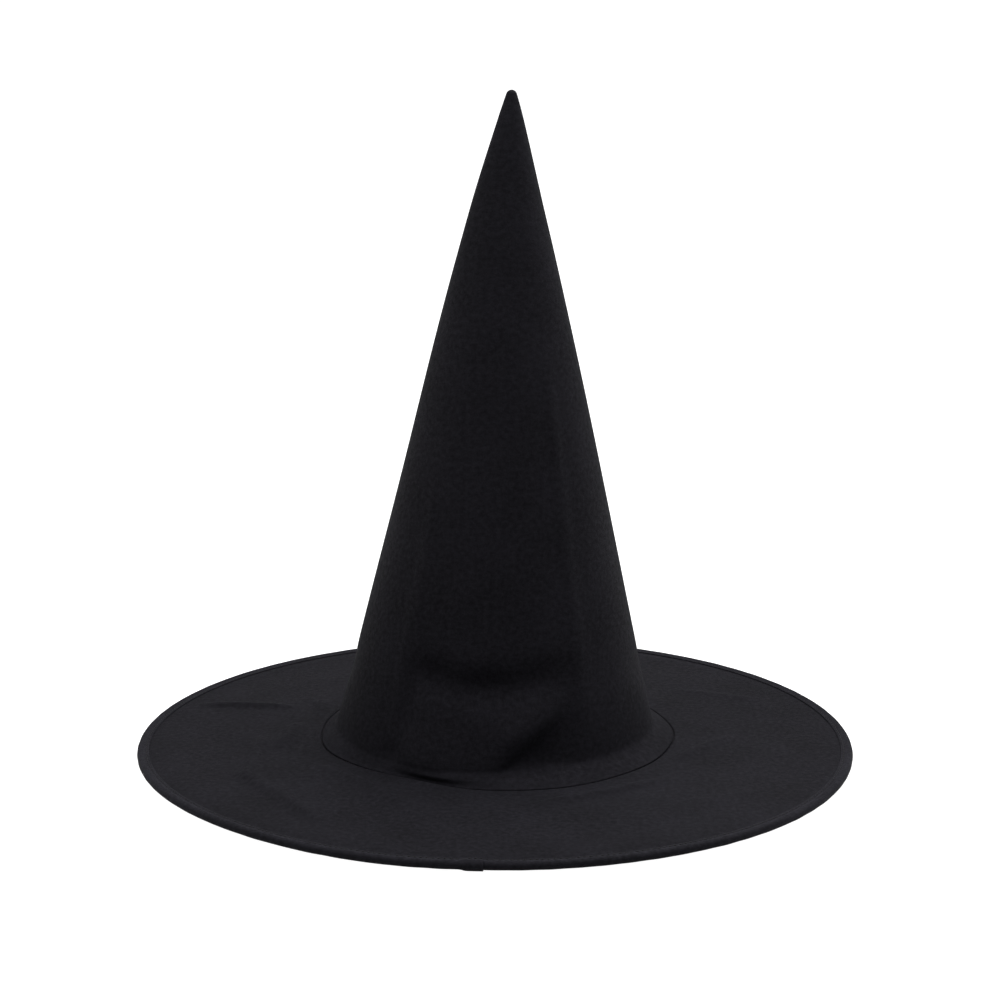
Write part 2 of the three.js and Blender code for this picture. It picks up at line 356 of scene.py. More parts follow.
def brim_wrinkles(r, angle):
    """How far the top cloth stands off the felt, in millimetres. It is stitched down at both edges."""
    out = 0.4 + 0.2 * waves(angle, r, 31, 12, (3, 14), 40)
    out = out + brim_fold(r, angle, (172, 160), (118, 158), 2.6, lift=1.5, step=0.8)
    out = out + brim_fold(r, angle, (112, 150), (98, 164), 2.6, lift=2.0, step=0.6)
    out = out + brim_fold(r, angle, (108, 172), (116, -168), 4.5, lift=2.3, step=-0.4)
    out = out + brim_fold(r, angle, (124, -178), (148, -150), 3.8, lift=2.2, step=0.8)
    out = out + brim_fold(r, angle, (146, -156), (161, -122), 4.2, lift=1.8, step=0.6)
    out = out + brim_fold(r, angle, (108, -148), (121, -114), 3.6, lift=1.9, step=-0.7)
    out = out + brim_fold(r, angle, (117, -80), (115, -40), 3.4, lift=1.7, step=0.3)
    out = out + brim_fold(r, angle, (99, 176), (101, -168), 2.4, lift=1.2)
    out = out + brim_fold(r, angle, (102, -26), (126, -2), 4.0, lift=1.5)
    out = out + brim_fold(r, angle, (148, -64), (158, -32), 7.0, lift=1.0)
    out = out + brim_fold(r, angle, (160, 24), (128, 38), 4.0, lift=1.0)
    out = out + brim_fold(r, angle, (118, 70), (124, 112), 5.0, lift=1.1)
    out = out + brim_fold(r, angle, (168, 118), (130, 126), 3.5, lift=1.2, step=0.4)
    out = np.clip(out, 0, None) * ease(r, 96, 106) * (1 - ease(r, 176, 184))
    # at the lower left it has worked its way up the turned edge of the crown
    ridden_up = 0.5 * bump(off_angle(angle, -116), 15)
    return out + ridden_up * ease(r, tuck_start, tuck_end) * (1 - ease(r, 97, 104))


samples = np.meshgrid(np.arange(96.0, 184.0), np.arange(360.0))
print("the top cloth stands up to", round(float(brim_wrinkles(*samples).max()), 1), "mm off the felt")

# %% [markdown]
# ## From grids to cloth
# A layer of cloth could be one surface with a Solidify modifier, but its neighbours need to know just where
# its inner face lies. So it is two grids of points, one for each face, joined along their edges. The columns
# run round the hat and the rows down it or out from it, and the columns lie closer where the folds are
# sharp. The last column is the first one again, so a pattern can run on past a full turn.

# %% Grid helpers
def columns(step, fine=()):
    """Angles once round from the back seam, step degrees apart, and closer inside each of fine's spans,
    which are (centre, half width, step)."""
    angles = [BACK]
    while angles[-1] < BACK + 360 - 1e-6:
        near = [small for centre, half, small in fine if abs(off_angle(angles[-1], centre)) < half]
        angles.append(angles[-1] + min([step] + near))
    angles = np.array(angles)
    return BACK + (angles - BACK) * 360 / (angles[-1] - BACK)


def plan(r, angle, z):
    """Points in metres at a radius, angle and height, all as grids, with no lean."""
    a = np.radians(angle)
    return MM * np.stack(np.broadcast_arrays(r * np.cos(a), r * np.sin(a), z), -1)


def on_crown(r, angle, z):
    """Points in metres on the crown. It leans to +X, and the slope at its foot shifts with the seam ring."""
    points = plan(r + seam_shift(angle) * (1 - ease(z, 8.6, 17.0)), angle, z)
    points[..., 0] += MM * lean(z)
    return points


def on_brim(r, angle, z):
    """Points in metres on the brim, which shifts with the seam ring at its inner edge, and is spread and
    raised with the rim at its outer edge."""
    outer = np.clip((r - 96) / 90, 0, 1)
    across = seam_shift(angle) * (1 - ease(r, 94, 140)) + rim_spread(angle) * outer
    return plan(r + across, angle, z + rim_rise(angle) * outer + brim_slack(r, angle))


def cells(rows, cols, first=0):
    """Point numbers of the four corners of each cell of a rows by cols grid."""
    corner = first + np.arange(rows * cols).reshape(rows, cols)
    return np.stack([corner[:-1, :-1], corner[1:, :-1], corner[1:, 1:], corner[:-1, 1:]], -1).reshape(-1, 4)


# %% Mesh helpers
def make_object(name, points, faces, uv):
    """A smooth, closed mesh object. Points at the same place are welded, and faces turned outwards."""
    mesh = bpy.data.meshes.new(name)
    mesh.from_pydata(points.reshape(-1, 3).tolist(), [], faces.tolist())
    layer = mesh.uv_layers.new(name="UVMap")
    layer.data.foreach_set("uv", uv.reshape(-1, 2)[faces.ravel()].astype(np.float32).ravel())
    work = bmesh.new()
    work.from_mesh(mesh)
    bmesh.ops.remove_doubles(work, verts=work.verts, dist=2e-6)
    bmesh.ops.recalc_face_normals(work, faces=work.faces)
    gaps = sum(len(edge.link_faces) != 2 for edge in work.edges)
    inside_out = work.calc_volume(signed=True) < 0
    if inside_out:
        bmesh.ops.reverse_faces(work, faces=work.faces)
    work.to_mesh(mesh)
    work.free()
    mesh.polygons.foreach_set("use_smooth", np.ones(len(mesh.polygons), bool))
    made = bpy.data.objects.new(name, mesh)
    bpy.context.scene.collection.objects.link(made)
    print(name, len(mesh.polygons), "faces,", gaps, "open edges")
    return made


def sheet_object(name, near, far, uv):
    """A closed sheet between two grids of points of the same size, one for each face. Its edges are joined,
    but for the two that meet in a full turn, and a first row that is a single point."""
    rows, cols = near.shape[:2]
    number = np.arange(2 * rows * cols).reshape(2, rows, cols)
    faces = [cells(rows, cols), cells(rows, cols, rows * cols)[:, ::-1]]
    for edge in (number[:, 0], number[:, -1, ::-1], number[:, ::-1, 0], number[:, :, -1]):
        faces.append(np.stack([edge[0, :-1], edge[0, 1:], edge[1, 1:], edge[1, :-1]], -1))
    if np.allclose(near[:, 0], near[:, -1], atol=1e-7):
        faces = faces[:4]
    if np.allclose(near[0], near[0, :1], atol=1e-7):
        faces.pop(2)
    points = np.stack([near, far])
    return make_object(name, points, np.concatenate(faces), np.stack([uv, uv]))


def place_piece(piece, body, nodes=(), material=None):
    """Gives a piece its body, material slot and material, and hides the CAD nodes that it stands for."""
    if body:
        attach(piece, body)
    if nodes:
        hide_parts(*nodes)
    if material:
        piece.data.materials.clear()
        piece.data.materials.append(material)


print("once round in steps of 1.6 degrees is", len(columns(1.6)), "columns")

# %% [markdown]
# ## Black cloth
# The cloth is a plain weave of dull black yarn, brushed a little, so it has a faint nap. Three things make
# it look like cloth rather than black paint: the weave, one thread over and one under, as a fine relief;
# uneven tone where the nap lies one way or the other; and sheen, the pale edge that the fibres' ends catch.
# Real threads would run to millions, so the weave is a bump. It is drawn on the piece's own UV map, in
# metres on the flat cloth, so it follows each fold.

# %% Node helpers
class Recipe:
    """A new material's node tree, with short ways to add nodes and join them."""

    def __init__(self, name):
        self.material = bpy.data.materials.new(name)
        self.material.use_nodes = True
        self.tree = self.material.node_tree
        self.shader = self.tree.nodes["Principled BSDF"]

    def fill(self, socket, value):
        """Joins a node's output to a socket, or sets the socket to a plain value."""
        if isinstance(value, bpy.types.NodeSocket):
            self.tree.links.new(value, socket)
        else:
            socket.default_value = value

    def maths(self, operation, *values):
        """A Math node on values that are numbers or outputs."""
        node = self.tree.nodes.new("ShaderNodeMath")
        node.operation = operation
        for socket, value in zip(node.inputs, values):
            self.fill(socket, value)
        return node.outputs[0]

    def uv(self, turn=0.0):
        """The piece's own UV map, in metres, turned by some degrees."""
        source = self.tree.nodes.new("ShaderNodeTexCoord").outputs["UV"]
        if not turn:
            return source
        node = self.tree.nodes.new("ShaderNodeMapping")
        self.fill(node.inputs["Vector"], source)
        node.inputs["Rotation"].default_value = (0, 0, np.radians(turn))
        return node.outputs[0]

    def axes(self, vector):
        """The X and Y of a vector."""
        node = self.tree.nodes.new("ShaderNodeSeparateXYZ")
        self.fill(node.inputs[0], vector)
        return node.outputs[0], node.outputs[1]

    def stretch(self, vector, factors):
        """A vector with its X, Y and Z each multiplied."""
        node = self.tree.nodes.new("ShaderNodeVectorMath")
        node.operation = "MULTIPLY"
        self.fill(node.inputs[0], vector)
        node.inputs[1].default_value = factors
        return node.outputs[0]

    def noise(self, vector, size, detail=2.0, roughness=0.5):
        """Soft noise from 0 to 1 whose lumps are about size metres across."""
        node = self.tree.nodes.new("ShaderNodeTexNoise")
        self.fill(node.inputs["Vector"], vector)
        node.inputs["Scale"].default_value = 1 / size
        node.inputs["Detail"].default_value = detail
        node.inputs["Roughness"].default_value = roughness
        return node.outputs["Fac"]

    def spread(self, value, low, high, to_low, to_high):
        """A value from low to high carried over to the range to_low to to_high."""
        node = self.tree.nodes.new("ShaderNodeMapRange")
        for socket, number in zip(node.inputs, (value, low, high, to_low, to_high)):
            self.fill(socket, number)
        return node.outputs[0]

    def blend(self, share, dark, light):
        """A colour between two others."""
        node = self.tree.nodes.new("ShaderNodeMix")
        node.data_type = "RGBA"
        self.fill(node.inputs[0], share)
        self.fill(node.inputs[6], dark)
        self.fill(node.inputs[7], light)
        return node.outputs[2]

    def relief(self, height, depth, onto=None):
        """A bump whose height from 0 to 1 stands for depth metres, on top of another bump if given."""
        node = self.tree.nodes.new("ShaderNodeBump")
        node.inputs["Strength"].default_value = 1.0
        node.inputs["Distance"].default_value = depth
        self.fill(node.inputs["Height"], height)
        if onto:
            self.fill(node.inputs["Normal"], onto)
        return node.outputs[0]

    def finish(self, colour, roughness, normal, **sockets):
        """Joins colour, roughness and normal to the shader, and sets its other sockets by name."""
        self.fill(self.shader.inputs["Base Color"], colour)
        self.fill(self.shader.inputs["Roughness"], roughness)
        self.fill(self.shader.inputs["Normal"], normal)
        for name, value in sockets.items():
            self.shader.inputs[name.replace("_", " ")].default_value = value
        return self.material


print("a recipe's steps:", [step for step in vars(Recipe) if step[0] != "_"])


# %% Cloth recipe
def grey(level, blue=1.0):
    """A near-neutral colour, with its blue a little stronger and its green a touch weaker."""
    return (level, level * (1.15 - 0.15 * blue), level * blue, 1.0)


def woven(name, dark, light, turn=0.0, thread=0.0005, sheen=0.008, blue=1.28):
    """A brushed plain weave. Its relief is the root of |sin(pi x / thread) * sin(pi y / thread)|."""
    mix = Recipe(name)
    flat = mix.uv(turn)
    x, y = mix.axes(flat)
    across = mix.maths("SINE", mix.maths("MULTIPLY", x, np.pi / thread))
    along = mix.maths("SINE", mix.maths("MULTIPLY", y, np.pi / thread))
    crossing = mix.maths("MULTIPLY", across, along)
    pillow = mix.maths("POWER", mix.maths("ABSOLUTE", crossing), 0.5)
    fuzz = mix.noise(flat, 0.0006, detail=3, roughness=0.7)
    nap = mix.noise(flat, 0.0026, detail=4, roughness=0.62)
    slubs = mix.noise(mix.stretch(flat, (1.0, 9.0, 1.0)), 0.006, detail=2)
    patches = mix.noise(flat, 0.035, detail=2)
    tone = mix.maths("MULTIPLY", nap, 0.42)
    for pattern, part in ((fuzz, 0.28), (slubs, 0.08), (patches, 0.22)):
        tone = mix.maths("ADD", tone, mix.maths("MULTIPLY", pattern, part))
    share = mix.spread(tone, 0.40, 0.60, 0.0, 1.0)
    # The colour mixes random tone from the nap, fuzz, slubs and patches with painted shade on the weave:
    # each crossing is lighter at its raised middle and darker in the gaps between threads.
    worn = mix.maths("MULTIPLY_ADD", pillow, 0.18, mix.maths("MULTIPLY", share, 0.82))
    colour = mix.blend(worn, grey(dark, blue), grey(light, blue))
    roughness = mix.spread(nap, 0.3, 0.7, 0.9, 0.72)
    normal = mix.relief(pillow, 0.00006)
    normal = mix.relief(fuzz, 0.00018, normal)
    normal = mix.relief(nap, 0.00022, normal)
    return mix.finish(
        colour, roughness, normal,
        Sheen_Weight=sheen, Sheen_Roughness=0.55, Sheen_Tint=(0.9, 0.92, 1.0, 1.0), Specular_IOR_Level=0.05,
    )


black_cloth = woven("black_brushed_cloth", 0.0026, 0.0078)
# The binding is the same black cloth, but its colour is about a third lighter: a painted highlight for the
# light that its rounded roll catches at the rim.
binding_cloth_painted_highlight = woven("black_bias_cloth_painted_highlight", 0.0034, 0.0105, turn=45.0, sheen=0.02)
print("cloth materials:", black_cloth.name, binding_cloth_painted_highlight.name)


# %% [markdown]
# ## Felt, ribbon, thread, satin and metal
# The interlining is pressed felt: no weave, only short fibres lying every way. The sweatband is grosgrain,
# a ribbon with thick ribs across it. Sewing thread is two plies twisted, so its relief runs slantwise.
# Satin floats its threads one way, which gives it a streaked gloss. The hoop is drawn steel, streaked along
# its length, and the joiner is dull zinc-plated tube. None of these fibres is worth modelling one by one, so
# each finish is a few noises and waves on the UV map, stretched the way that its fibres or its grain run.

# %% Felt
def felted(name, dark, light):
    """Pressed fibres: two noises stretched across each other, the higher of the two at each point."""
    mix = Recipe(name)
    flat = mix.uv()
    one = mix.noise(mix.stretch(mix.uv(35.0), (1.0, 7.0, 1.0)), 0.0035, detail=3, roughness=0.65)
    two = mix.noise(mix.stretch(mix.uv(-50.0), (1.0, 7.0, 1.0)), 0.003, detail=3, roughness=0.65)
    fibres = mix.maths("MAXIMUM", one, two)
    clumps = mix.noise(flat, 0.009, detail=3)
    tone = mix.maths("MULTIPLY_ADD", clumps, 0.5, mix.maths("MULTIPLY", fibres, 0.5))
    share = mix.spread(tone, 0.42, 0.62, 0, 1)
    normal = mix.relief(clumps, 0.0004, mix.relief(fibres, 0.00025))
    return mix.finish(
        mix.blend(share, grey(dark), grey(light)), 0.95, normal,
        Sheen_Weight=0.2, Sheen_Roughness=0.6, Specular_IOR_Level=0.15,
    )


interlining_felt = felted("charcoal_pressed_felt", 0.022, 0.06)
print("felt material:", interlining_felt.name)


# %% Grosgrain ribbon
def grosgrain(name, dark, light, rib=0.0011):
    """Ribs across a ribbon: |sin(pi x / rib)|, each wrapped by finer threads that run along the ribbon."""
    mix = Recipe(name)
    flat = mix.uv()
    x, y = mix.axes(flat)
    ribs = mix.maths("ABSOLUTE", mix.maths("SINE", mix.maths("MULTIPLY", x, np.pi / rib)))
    warp = mix.maths("ABSOLUTE", mix.maths("SINE", mix.maths("MULTIPLY", y, np.pi / 0.0004)))
    uneven = mix.noise(mix.stretch(flat, (4.0, 1.0, 1.0)), 0.004, detail=2)
    # The colour follows the ribs as painted shade: dark in the grooves between ribs and lighter on their
    # crowns, with uneven noise along them.
    share = mix.maths("MULTIPLY", mix.maths("MULTIPLY_ADD", uneven, 0.6, 0.4), ribs)
    normal = mix.relief(warp, 0.00004, mix.relief(ribs, 0.00022))
    return mix.finish(
        mix.blend(share, grey(dark, 1.1), grey(light, 1.1)), mix.spread(ribs, 0, 1, 0.75, 0.5), normal,
        Sheen_Weight=0.15, Sheen_Roughness=0.4, Specular_IOR_Level=0.35,
    )


sweatband_ribbon = grosgrain("black_grosgrain", 0.004, 0.012)
back_tape = grosgrain("black_seam_tape", 0.006, 0.016, rib=0.0007)
print("ribbon materials:", sweatband_ribbon.name, back_tape.name)


# %% Sewing thread
def twisted(name, dark, light, pitch=0.0009):
    """Two-ply thread: |sin(pi (x / pitch + turns))|, where x runs along the thread and turns go round it."""
    mix = Recipe(name)
    x, y = mix.axes(mix.uv())
    turn = mix.maths("ADD", mix.maths("DIVIDE", x, pitch), mix.maths("MULTIPLY", y, 1000.0))
    plies = mix.maths("ABSOLUTE", mix.maths("SINE", mix.maths("MULTIPLY", turn, np.pi)))
    # The colour follows the plies as painted shade: lighter on each ply and dark in the grooves between
    # them.
    return mix.finish(
        mix.blend(plies, grey(dark, 1.1), grey(light, 1.1)), 0.55, mix.relief(plies, 0.00009),
        Sheen_Weight=0.02, Sheen_Roughness=0.35, Specular_IOR_Level=0.12,
    )


sewing_thread = twisted("black_polyester_thread", 0.002, 0.007)
label_thread = twisted("white_polyester_thread", 0.45, 0.75)
print("thread materials:", sewing_thread.name, label_thread.name)


# %% Satin, steel and zinc
def streaked(name, dark, light, factors, size, depth, roughness, **sockets):
    """Streaks: noise whose lumps are drawn out along one way, in tone, gloss and relief."""
    mix = Recipe(name)
    flat = mix.uv()
    streaks = mix.noise(mix.stretch(flat, factors), size, detail=3)
    blots = mix.noise(flat, 0.004, detail=2)
    tone = mix.maths("MULTIPLY_ADD", blots, 0.4, mix.maths("MULTIPLY", streaks, 0.6))
    share = mix.spread(tone, 0.35, 0.65, 0, 1)
    return mix.finish(
        mix.blend(share, dark, light), mix.spread(streaks, 0.3, 0.7, roughness + 0.1, roughness - 0.1),
        mix.relief(streaks, depth), **sockets,
    )


label_satin = streaked(
    "white_satin", (0.62, 0.62, 0.60, 1), (0.8, 0.8, 0.79, 1), (1.0, 30.0, 1.0), 0.004, 0.00004, 0.38,
    Sheen_Weight=0.3, Sheen_Roughness=0.3, Anisotropic=0.5,
)
wire_steel = streaked(
    "drawn_steel", (0.42, 0.42, 0.43, 1), (0.62, 0.62, 0.63, 1), (1.0, 20.0, 1.0), 0.008, 0.00002, 0.34,
    Metallic=1.0,
)
crimp_metal = streaked(
    "zinc_plate", (0.5, 0.5, 0.48, 1), (0.68, 0.68, 0.66, 1), (1.0, 2.0, 1.0), 0.0015, 0.00004, 0.48,
    Metallic=1.0,
)
print("satin and metals:", label_satin.name, wire_steel.name, crimp_metal.name)

# %% [markdown]
# ## Crown cloth
# The crown is one sector of a circle rolled into a cone, with its only seam at the back. It could be a cone
# primitive with a cloth simulation on top, but then the folds would fall where they like. Here the outline
# is one profile: over the blunt tip, down the wall, round a corner, down a short slope to the seam, and back
# inside as the turned allowance. Each row of the grid is one point of that profile carried once round.

# %% Crown profile
corner_up = 2.2  # how far up the wall the rounding of the corner starts
corner_out = 2.0  # how far out on the slope it ends
slope_over = 0.2  # how far above the flange the slope ends
allowance_r = np.array([91.0, 88.6])  # of the cloth turned back inside the seam


def rounding(start, corner, end):
    """Seven values of a curve that a corner draws in: (1 - t)^2 start + 2 t (1 - t) corner + t^2 end."""
    t = np.linspace(0, 1, 7)
    return (1 - t) ** 2 * start + 2 * t * (1 - t) * corner + t**2 * end


def crown_profile():
    """Radius and height of the crown's outer face, row by row: an arc of tip_radius, the wall, the rounded
    corner, the straight slope, a half turn of turn_radius, and the allowance."""
    tip = np.radians(np.linspace(90, 16.3, 8))
    tip_middle = hat_height - tip_radius
    # rows of the wall, closest together over the folds near its foot
    wall = np.concatenate([
        np.linspace(tip_middle - 1, 300, 13),
        np.linspace(296, 204, 30),
        np.linspace(201, 62, 54),
        np.linspace(60.3, corner_height + 3.6, 26),
    ])
    corner = crown_radius(corner_height)
    turn_middle = seam_radius - turn_radius
    drop = (corner_height - flange_top - slope_over) / (turn_middle - corner)
    round_r = rounding(crown_radius(corner_height + corner_up), corner, corner + corner_out)
    round_z = rounding(corner_height + corner_up, corner_height, corner_height - corner_out * drop)
    slope_r = np.linspace(corner + corner_out, turn_middle, 7)[1:-1]
    slope_z = corner_height - drop * (slope_r - corner)
    turn = np.radians(np.linspace(90, -90, 7))
    turn_r = turn_middle + turn_radius * np.cos(turn)
    turn_z = flange_top - turn_radius + turn_radius * np.sin(turn)
    allowance_z = np.full(len(allowance_r), flange_top - 2 * turn_radius)
    r = [tip_radius * np.cos(tip), crown_radius(wall), round_r, slope_r, turn_r, allowance_r]
    z = [tip_middle + tip_radius * np.sin(tip), wall, round_z, slope_z, turn_z, allowance_z]
    return np.concatenate(r), np.concatenate(z)


crown_r, crown_z = crown_profile()
print("the profile drops from", round(crown_z[0], 1), "mm at the tip to", round(crown_z[-1], 1), "mm")


# %% Depths and flat patterns
def inset(r, z, depth):
    """A profile moved square to itself, to the right of the way it runs, so into the cloth."""
    along_r, along_z = np.gradient(r), np.gradient(z)
    length = np.hypot(along_r, along_z)
    return r + depth * along_z / length, z - depth * along_r / length


def crown_layer(r, z, depth, angle):
    """Points of a layer of the crown at a depth under its outer face, for each row (r, z) and each angle."""
    deep_r, deep_z = inset(r, z, depth)
    on_axis = r < 1e-6
    deep_r = np.where(on_axis, 0, deep_r)
    deep_z = np.where(on_axis, z - depth, deep_z)
    on_wall = ease(r, 0.5, 6.0)[:, None]
    a, row_z = angle[None, :], z[:, None]
    worn = crown_folds(a, row_z) + back_seam(a, row_z)
    return on_crown(deep_r[:, None] + on_wall * worn, a, deep_z[:, None])


def sector(r, z, angle):
    """UV in metres on the flat sector: (s sin f, -s cos f), where s is the way down the profile and f is the
    angle from the front, times the sine of the cone's half angle."""
    way = np.concatenate([[0], np.cumsum(np.hypot(np.diff(r), np.diff(z)))])[:, None]
    flat = np.radians(angle[None, :] - BACK - 180) * np.sin(np.arctan(foot_radius / (apex - foot_height)))
    return MM * np.stack([way * np.sin(flat), -way * np.cos(flat)], -1)


# %% Sew the crown
crown_angles = columns(1.6, fine=[(-93, 41, 0.8), (BACK, 3, 0.33)])
crown = sheet_object(
    "crown_cloth_sewn",
    crown_layer(crown_r, crown_z, 0.0, crown_angles),
    crown_layer(crown_r, crown_z, cloth, crown_angles),
    sector(crown_r, crown_z, crown_angles),
)
place_piece(crown, None, ["crown_cloth"], black_cloth)
print(len(crown_r), "rows by", len(crown_angles), "columns")

# %% [markdown]
# ## Interlinings and the back seam tape
# Two pieces of pressed felt stand inside the crown, a tall one from the sweatband up and a small one in the
# tip. Between them the crown is cloth alone, so the tip can flop over there. A narrow tape covers the back
# seam inside. They could be copies of the crown, shrunk, but a shrunk fold no longer lies on its neighbour.
# So all of them are the crown's own profile again, only deeper.

# %% Interlinings
layer_gap = 0.3  # air between one layer of the crown and the next
felt_depth = cloth + layer_gap


def wall_rows(*spans):
    """Heights of rows down the wall, each span being (highest, lowest, number of rows)."""
    return np.concatenate([np.linspace(*span, endpoint=n == len(spans) - 1) for n, span in enumerate(spans)])


def wall_layer(name, heights, near, far, angle):
    """A layer of the crown's wall between two depths."""
    r = crown_radius(heights)
    faces = [crown_layer(r, heights, depth, angle) for depth in (near, far)]
    return sheet_object(name, *faces, sector(r, heights, angle))


lower_rows = wall_rows((bend_low, 62, 33), (62, felt_low, 22))
lower_felt = wall_layer("lower_crown_felt", lower_rows, felt_depth, felt_depth + felt, crown_angles)
place_piece(lower_felt, None, ["lower_crown_interlining"], interlining_felt)
tip_rows = wall_rows((tip_felt_high, bend_high, 24))
tip_felt = wall_layer("tip_felt", tip_rows, felt_depth, felt_depth + felt, columns(4.0))
place_piece(tip_felt, None, ["tip_interlining"], interlining_felt)

# %% Back seam tape
tape_half = 5.2
tape_thick = 0.4
tape_across = np.linspace(-tape_half, tape_half, 9)
tape_rows = wall_rows((tape_high, 62, 60), (62, tape_low, 14))
tape_depth = felt_depth + felt + layer_gap


def tape_layer(depth):
    """Points of the tape: the wall at some depth, from -tape_half to tape_half millimetres either side."""
    r = crown_radius(tape_rows)
    deep_r, deep_z = inset(r, tape_rows, depth)
    across = np.degrees(tape_across[None, :] / deep_r[:, None]) + BACK
    return on_crown(deep_r[:, None] + crown_folds(across, tape_rows[:, None]), across, deep_z[:, None])


tape_uv = MM * np.stack(np.meshgrid(tape_rows, tape_across, indexing="ij"), -1)
tape = sheet_object("back_tape_sewn", tape_layer(tape_depth), tape_layer(tape_depth + tape_thick), tape_uv)
place_piece(tape, None, ["back_seam_tape"], back_tape)

# %% [markdown]
# ## Brim
# The brim is a ring of cloth above, a ring below, and a ring of felt between. The top cloth isn't glued down
# everywhere, so it has a few soft wrinkles of its own, and all three waver together between the seam and the
# rim. Flat rings with a displacement would pass through one another, so each is worked out from the height
# of the brim's lowest face, plus its own place in the stack.

# %% Brim helpers
brim_foot = 1.1  # height of the under cloth's lower face at the rim
brim_climb = 4.9  # how much higher it is at the felt's inner edge
brim_inner = 87.9  # where the seam allowance ends
felt_inner = 96.0  # where the brim's felt stops, clear of the seam
felt_low_face, felt_high_face = 0.8, 1.6  # of the brim's felt, over the brim's lowest face
felt_clearance = 0.05  # under the top cloth


def brim_floor(r):
    """Height of the brim's lowest face: brim_foot at the rim, and brim_climb more at the felt's edge."""
    return brim_foot + brim_climb * np.clip((brim_edge - r) / (brim_edge - felt_inner), 0, 1)


def ring_uv(r, angle):
    """UV in metres on the flat ring: (r cos a, r sin a)."""
    return plan(r[:, None], angle[None, :], 0)[..., :2]


def top_rise(r):
    """Height of the top cloth over the brim's floor: 2.4 over most of the brim, 2.6 beside the seam, and 1.4
    where it is tucked in under the crown."""
    return 1.4 + 1.2 * ease(r, tuck_start, tuck_end) - 0.2 * ease(r, 95, 104)


def brim_layer(name, r, low, high, angle, loose=0):
    """A ring between the heights low and high over the brim's floor, plus loose times the wrinkles."""
    rr, a = r[:, None], angle[None, :]
    lift = loose * brim_wrinkles(rr, a)
    base = brim_floor(rr)
    faces = [on_brim(rr, a, base + height + lift) for height in (high, low)]
    return sheet_object(name, *faces, ring_uv(r, angle))


# %% Brim layers
brim_angles = columns(1.1, fine=[(158, 9, 0.4), (-168, 24, 0.8)])
top_r = np.concatenate([
    [brim_inner, 91.0, 93.4],
    np.linspace(93.5, 95.5, 9),
    np.linspace(96.6, 134, 31),
    np.linspace(135.5, brim_edge, 34),
])
top_high = top_rise(top_r)[:, None]
brim_top = brim_layer("brim_top_sewn", top_r, top_high - cloth, top_high, brim_angles, loose=1)
place_piece(brim_top, "hat", ["brim_top_cloth"], black_cloth)

felt_r = np.linspace(felt_inner, brim_edge, 30)
felt_high = np.minimum(felt_high_face, top_rise(felt_r) - cloth - felt_clearance)[:, None]
brim_felt = brim_layer("brim_felt", felt_r, felt_low_face, felt_high, columns(2.0))
place_piece(brim_felt, "hat", ["brim_interlining"], interlining_felt)

under_r = np.concatenate([[brim_inner, 91.0, 94.0], np.linspace(felt_inner, brim_edge, 40)])
brim_under = brim_layer("brim_under_sewn", under_r, 0.0, cloth, columns(1.5))
place_piece(brim_under, "hat", ["brim_under_cloth"], black_cloth)

# %% [markdown]
# ## Rim: hoop, joiner and binding
# A strip of the same cloth, cut on the slant so that it bends easily, is folded over the brim's edge and the
# wire hoop, and stitched through. Its profile is a U, round over the wire and pinched at the stitches. It is
# swept once round and a little more: the end lies on the beginning, which makes the small step at the
# front of the rim. A curve with a bevelled profile could draw the roll, but not that lap, nor the pucker
# between stitches.

# %% Hoop wire
wire_radius = 0.7
roll_radius = 2.3
roll_middle = rim_radius - roll_radius
joiner_angle, joiner_length, joiner_radius, joiner_bore = 120.0, 16.0, 1.3, 1.0
wire_gap = 0.6  # between the wire's two ends, inside the joiner
wire_rings = 361
crimp_depth, crimp_place, crimp_width = 0.22, 4.5, 0.9  # one crimp each side of the joiner's middle


def hoop_section(angle, radius, sides):
    """Points of a tube round the roll's middle: (roll_middle + radius cos b, roll_radius + radius sin b)."""
    b = np.linspace(0, 2 * np.pi, sides + 1)[None, :]
    size = np.broadcast_to(radius, angle.shape)[:, None]
    return on_brim(roll_middle + size * np.cos(b), angle[:, None], roll_radius + size * np.sin(b))


def tube_uv(angle, radius, sides):
    """UV in metres on a tube: along it, and round it."""
    around = np.linspace(0, 2 * np.pi * radius, sides + 1)
    return MM * np.stack(np.meshgrid(np.radians(angle) * roll_middle, around, indexing="ij"), -1)


def closed_tube(name, points, uv):
    """A tube whose first and last rings are single points."""
    rows, cols = points.shape[:2]
    return make_object(name, points, cells(rows, cols), uv)


wire_half_gap = np.degrees(wire_gap / 2 / roll_middle)
wire_span = np.linspace(joiner_angle + wire_half_gap, joiner_angle + 360 - wire_half_gap, wire_rings)
wire_angles = np.concatenate([wire_span[:1], wire_span, wire_span[-1:]])
wire_size = np.concatenate([[0], np.full(wire_rings, wire_radius), [0]])
wire_skin = hoop_section(wire_angles, wire_size, 12)
wire = closed_tube("rim_hoop_steel", wire_skin, tube_uv(wire_angles, wire_radius, 12))
place_piece(wire, "hat", ["rim_wire"], wire_steel)

# %% Joiner
joiner_way = np.linspace(-0.5, 0.5, 41) * joiner_length
joiner_angles = joiner_angle + np.degrees(joiner_way / roll_middle)
crimps = crimp_depth * bump(np.abs(joiner_way) - crimp_place, crimp_width)
joiner_skin = [hoop_section(joiner_angles, radius - crimps, 16) for radius in (joiner_radius, joiner_bore)]
joiner = sheet_object("joiner_crimped", *joiner_skin, tube_uv(joiner_angles, joiner_radius, 16))
place_piece(joiner, "hat", ["wire_joiner"], crimp_metal)

# %% Binding profile
stitch_pitch = 3.0
rim_stitches_round = int(round(2 * np.pi * rim_radius / stitch_pitch))
lap_length = 9.0
lap_gap = 0.08  # between the lap's two ends
stitch_line = 185.1  # radius of the stitches
pucker_depth, drift_depth = 0.07, 0.05  # of the dips between stitches, and of the roll's unevenness


